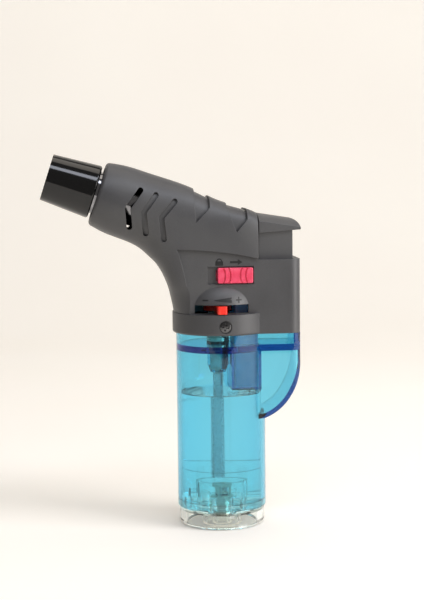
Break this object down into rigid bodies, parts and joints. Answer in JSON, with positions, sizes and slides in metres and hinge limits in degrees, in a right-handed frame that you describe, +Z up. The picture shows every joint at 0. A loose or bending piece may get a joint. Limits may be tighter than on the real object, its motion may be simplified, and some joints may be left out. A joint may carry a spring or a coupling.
{
  "type": "butane torch",
  "caption": "Pistol-shaped refillable butane torch with a see-through tank, thumb trigger, slanted nozzle guard, flow lever and lock slider.",
  "frame": {"origin": "centre of the foot's underside, at the mouth of the filling port", "axes": "+Z up along the tank's axis, -X the way the nozzle points, -Y the side with the controls"},
  "size_m": [0.1004, 0.0379, 0.1465],
  "materials": {
    "housing": "fine spark-eroded moulding texture",
    "trigger": "fine moulding texture",
    "tank": "clear blue moulded styrene",
    "base": "clear moulded styrene",
    "valve_metal": "turned",
    "burner_brass": "turned, heat stained",
    "seal_rubber": "matt",
    "spring_steel": "drawn wire and pressed strip",
    "dip_tube": "milky",
    "lever_red": "moulded",
    "button_red": "moulded",
    "igniter_plastic": "moulded",
    "ceramic": "fired, stands for ceramic",
    "screw_black": "blackened steel",
    "guard_black": "high-gloss black",
    "sleeve_steel": "blackened pressed steel",
    "hose_clear": "soft clear hose",
    "wire_cover": "soft sleeve"
  },
  "bodies": {
    "body": {"base_plug": "base", "burner_head": "burner_brass", "burner_tube": "valve_metal", "collar_screws": "screw_black", "dip_tube": "dip_tube", "electrode_insulator": "ceramic", "gas_hose": "hose_clear", "hammer_spring": "spring_steel", "heat_sleeve": "sleeve_steel", "ignition_wire": "wire_cover", "jet_block": "burner_brass", "jet_orifice": "burner_brass", "left_shell": "housing", "lever_pin": "spring_steel", "mixer_tube": "valve_metal", "nozzle_guard": "guard_black", "outlet_valve_body": "valve_metal", "outlet_valve_seal": "seal_rubber", "piezo_body": "igniter_plastic", "piezo_element": "ceramic", "refill_spring": "spring_steel", "refill_valve_body": "valve_metal", "refill_valve_seal": "seal_rubber", "return_spring": "spring_steel", "right_shell": "housing", "spark_electrode": "spring_steel", "tank": "tank"},
    "trigger": {"trigger": "trigger"},
    "plunger": {"piezo_plunger": "igniter_plastic"},
    "hammer": {"piezo_hammer": "spring_steel"},
    "lever": {"valve_lever": "spring_steel"},
    "stem": {"valve_stem": "valve_metal"},
    "flow_control": {"flow_lever": "lever_red", "flow_regulator": "valve_metal"},
    "lock": {"lock_button": "button_red", "lock_retainer": "button_red"},
    "filler": {"refill_stem": "valve_metal"}
  },
  "joints": [
    {"name": "trigger_press", "type": "slide", "parent": "body", "child": "trigger", "axis": [0, 0, -1], "range_m": [0, 0.0055], "stiffness_N_per_m": 1500, "springref_m": -0.002},
    {"name": "plunger_press", "type": "slide", "parent": "body", "child": "plunger", "axis": [0, 0, -1], "range_m": [0, 0.0056], "deforming": ["hammer_spring", "return_spring"]},
    {"name": "hammer_strike", "type": "slide", "parent": "body", "child": "hammer", "axis": [0, 0, -1], "range_m": [0, 0.003], "stiffness_N_per_m": 300, "springref_m": -0.001},
    {"name": "lever_tilt", "type": "hinge", "parent": "body", "child": "lever", "pos_m": [0.002, 0, 0.0899], "axis": [0, 1, 0], "range_deg": [0, 16]},
    {"name": "stem_lift", "type": "slide", "parent": "body", "child": "stem", "axis": [0, 0, 1], "range_m": [0, 0.0009]},
    {"name": "flow_turn", "type": "hinge", "parent": "body", "child": "flow_control", "pos_m": [-0.0011, 0, 0.0866], "axis": [0, 0, 1], "range_deg": [-25, 25]},
    {"name": "lock_slide", "type": "slide", "parent": "body", "child": "lock", "axis": [-1, 0, 0], "range_m": [0, 0.0035]},
    {"name": "refill_press", "type": "slide", "parent": "body", "child": "filler", "axis": [0, 0, 1], "range_m": [0, 0.001], "stiffness_N_per_m": 800, "springref_m": -0.001, "deforming": ["refill_spring"]}
  ],
  "couplings": [
    {"joint": "plunger_press", "follows": "trigger_press", "ratio": 1},
    {"joint": "lever_tilt", "follows": "trigger_press", "rad_per_m": 50},
    {"joint": "stem_lift", "follows": "trigger_press", "ratio": 0.15}
  ]
}
